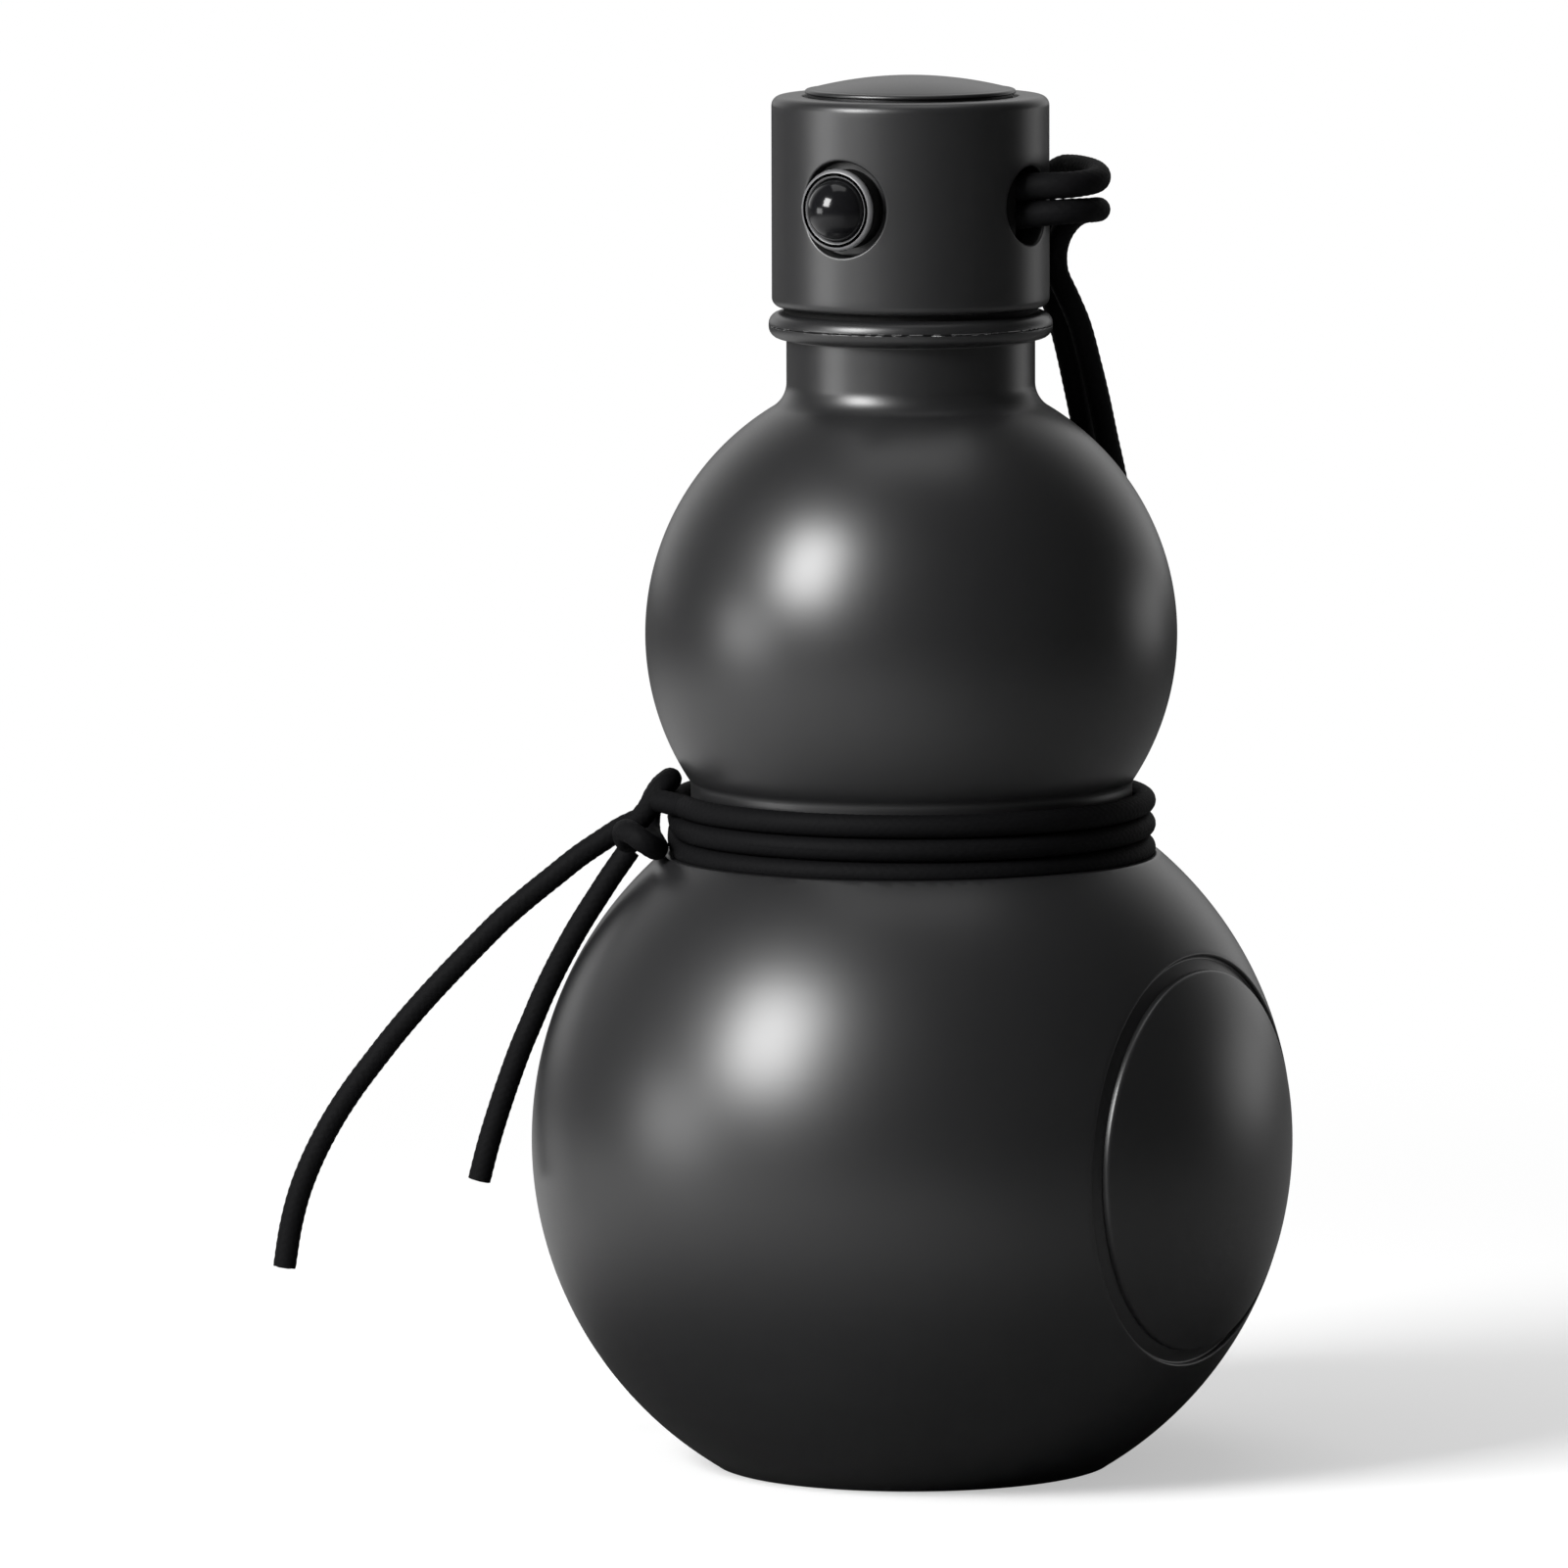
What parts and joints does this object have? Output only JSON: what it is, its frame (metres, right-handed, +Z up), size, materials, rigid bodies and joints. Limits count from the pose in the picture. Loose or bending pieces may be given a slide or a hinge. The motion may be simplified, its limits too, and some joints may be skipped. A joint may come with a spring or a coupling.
{
  "type": "gourd water bottle",
  "caption": "Double-gourd vacuum bottle with a screw stopper cap, a push-button cord lock, a side panel and a braided tether cord wound and knotted round the waist.",
  "frame": {"origin": "centre of the flat base, on the surface that the bottle stands on", "axes": "+Z up along the axis of the balls, the neck and the cap; +X towards the cord hole and the side panel; the button faces -Y"},
  "size_m": [0.1434, 0.1168, 0.2135],
  "materials": {
    "body_coat": "satin powder coat",
    "cap_coat": "satin powder coat",
    "bezel_grey": "satin anodised",
    "button_gloss": "glossy",
    "cord": "round braid",
    "seal_silicone": "matt",
    "moulded_grey": "moulded",
    "foam": "foamed",
    "flask_steel": "electropolished",
    "base_steel": "satin powder coat"
  },
  "bodies": {
    "bottle": {"outer_shell_lower": "body_coat", "outer_shell_upper": "body_coat", "base_plate": "base_steel", "port_cover": "moulded_grey", "inner_flask": "flask_steel", "side_panel": "body_coat", "waist_wrap_single": "cord", "waist_wrap_double": "cord", "waist_knot": "cord", "tail_long": "cord", "tail_short": "cord", "tether_left": "cord", "tether_right": "cord"},
    "seal": {"mouth_seal": "seal_silicone"},
    "cap": {"cap_shell": "cap_coat", "cap_top_disc": "cap_coat", "stopper_plug": "moulded_grey", "plug_insulation": "foam", "lock_housing": "moulded_grey", "button_bezel": "bezel_grey", "cap_cord": "cord", "lock_spring": "flask_steel"},
    "button": {"lock_plunger": "moulded_grey", "button_dome": "button_gloss"}
  },
  "joints": [
    {"name": "cap_lift", "type": "slide", "parent": "bottle", "child": "seal", "axis": [0, 0, 1], "range_m": [0, 0.02], "deforming": ["tether_left", "tether_right"]},
    {"name": "cap_turn", "type": "hinge", "parent": "seal", "child": "cap", "pos_m": [0, 0, 0.1776], "axis": [0, 0, 1], "range_deg": [0, 720]},
    {"name": "button_press", "type": "slide", "parent": "cap", "child": "button", "axis": [0, 1, 0], "range_m": [0, 0.002], "stiffness_N_per_m": 800, "springref_m": -0.002, "deforming": ["lock_spring"]}
  ],
  "couplings": [
    {"joint": "cap_lift", "follows": "cap_turn", "m_per_rad": 0.0015915}
  ]
}
